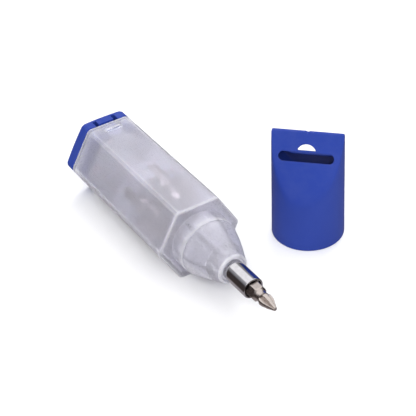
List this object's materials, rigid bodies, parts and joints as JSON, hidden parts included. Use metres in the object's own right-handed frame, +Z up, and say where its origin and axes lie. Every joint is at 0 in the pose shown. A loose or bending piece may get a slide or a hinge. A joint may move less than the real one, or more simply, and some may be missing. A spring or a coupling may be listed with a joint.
{
  "type": "pocket bit driver",
  "caption": "Pocket screwdriver with a clear hexagonal handle, magnetic bit holder, latched pull-out bit rack and a wedge-shaped nose cap with a hanging slot.",
  "frame": {"origin": "middle of the flat that the hexagonal handle lies on", "axes": "+Y along the handle towards the end cap, with the bit pointing to -Y; +Z up; the nose cap stands on the +X side"},
  "size_m": [0.0875, 0.1364, 0.051],
  "materials": {
    "clear_plastic": "frosted translucent moulding",
    "blue_plastic": "fine satin moulding",
    "natural_plastic": "satin moulding",
    "chrome_tube": "polished plating",
    "holder_steel": "turned",
    "magnet_nickel": "nickel plated",
    "spring_steel": "drawn wire",
    "bit_steel": "satin nickel"
  },
  "bodies": {
    "handle": {"handle_shell": "clear_plastic", "holder_tube": "chrome_tube", "holder_shank": "holder_steel", "hex_socket": "holder_steel", "bit_magnet": "magnet_nickel", "bit_clip": "spring_steel"},
    "fitted_bit": {"driver_bit": "bit_steel"},
    "magazine": {"end_cap": "blue_plastic", "bit_rack": "natural_plastic"},
    "tongue_top": {"latch_tongue_top": "blue_plastic"},
    "tongue_bottom": {"latch_tongue_bottom": "blue_plastic"},
    "stored_slotted_4": {"bit_slotted_4": "bit_steel"},
    "stored_slotted_6": {"bit_slotted_6": "bit_steel"},
    "stored_phillips_1": {"bit_phillips_1": "bit_steel"},
    "stored_pozidriv_2": {"bit_pozidriv_2": "bit_steel"},
    "stored_star_20": {"bit_star_20": "bit_steel"},
    "stored_hex_4": {"bit_hex_4": "bit_steel"},
    "hood": {"nose_cap": "blue_plastic"}
  },
  "joints": [
    {"name": "magazine_pull", "type": "slide", "parent": "handle", "child": "magazine", "axis": [0, 1, 0], "range_m": [0, 0.075], "deforming": ["latch_tongue_top", "latch_tongue_bottom"]},
    {"name": "tongue_top_press", "type": "hinge", "parent": "magazine", "child": "tongue_top", "pos_m": [0, 0.0414, 0.03275], "axis": [1, 0, 0], "range_deg": [0, 8], "stiffness_Nm_per_rad": 0.1},
    {"name": "tongue_bottom_press", "type": "hinge", "parent": "magazine", "child": "tongue_bottom", "pos_m": [0, 0.0414, 0.00125], "axis": [-1, 0, 0], "range_deg": [0, 8], "stiffness_Nm_per_rad": 0.1},
    {"name": "fitted_bit_pull", "type": "slide", "parent": "handle", "child": "fitted_bit", "axis": [0, -1, 0], "range_m": [0, 0.012], "deforming": ["bit_clip"]},
    {"name": "slotted_4_pull", "type": "slide", "parent": "magazine", "child": "stored_slotted_4", "axis": [0, -1, 0], "range_m": [0, 0.011]},
    {"name": "slotted_6_pull", "type": "slide", "parent": "magazine", "child": "stored_slotted_6", "axis": [0, -1, 0], "range_m": [0, 0.011]},
    {"name": "phillips_1_pull", "type": "slide", "parent": "magazine", "child": "stored_phillips_1", "axis": [0, -1, 0], "range_m": [0, 0.011]},
    {"name": "pozidriv_2_pull", "type": "slide", "parent": "magazine", "child": "stored_pozidriv_2", "axis": [0, -1, 0], "range_m": [0, 0.011]},
    {"name": "star_20_pull", "type": "slide", "parent": "magazine", "child": "stored_star_20", "axis": [0, -1, 0], "range_m": [0, 0.011]},
    {"name": "hex_4_pull", "type": "slide", "parent": "magazine", "child": "stored_hex_4", "axis": [0, -1, 0], "range_m": [0, 0.011]},
    {"name": "nose_cap_lift", "type": "slide", "parent": "handle", "child": "hood", "axis": [0, 0, 1], "range_m": [0, 0.06]}
  ]
}
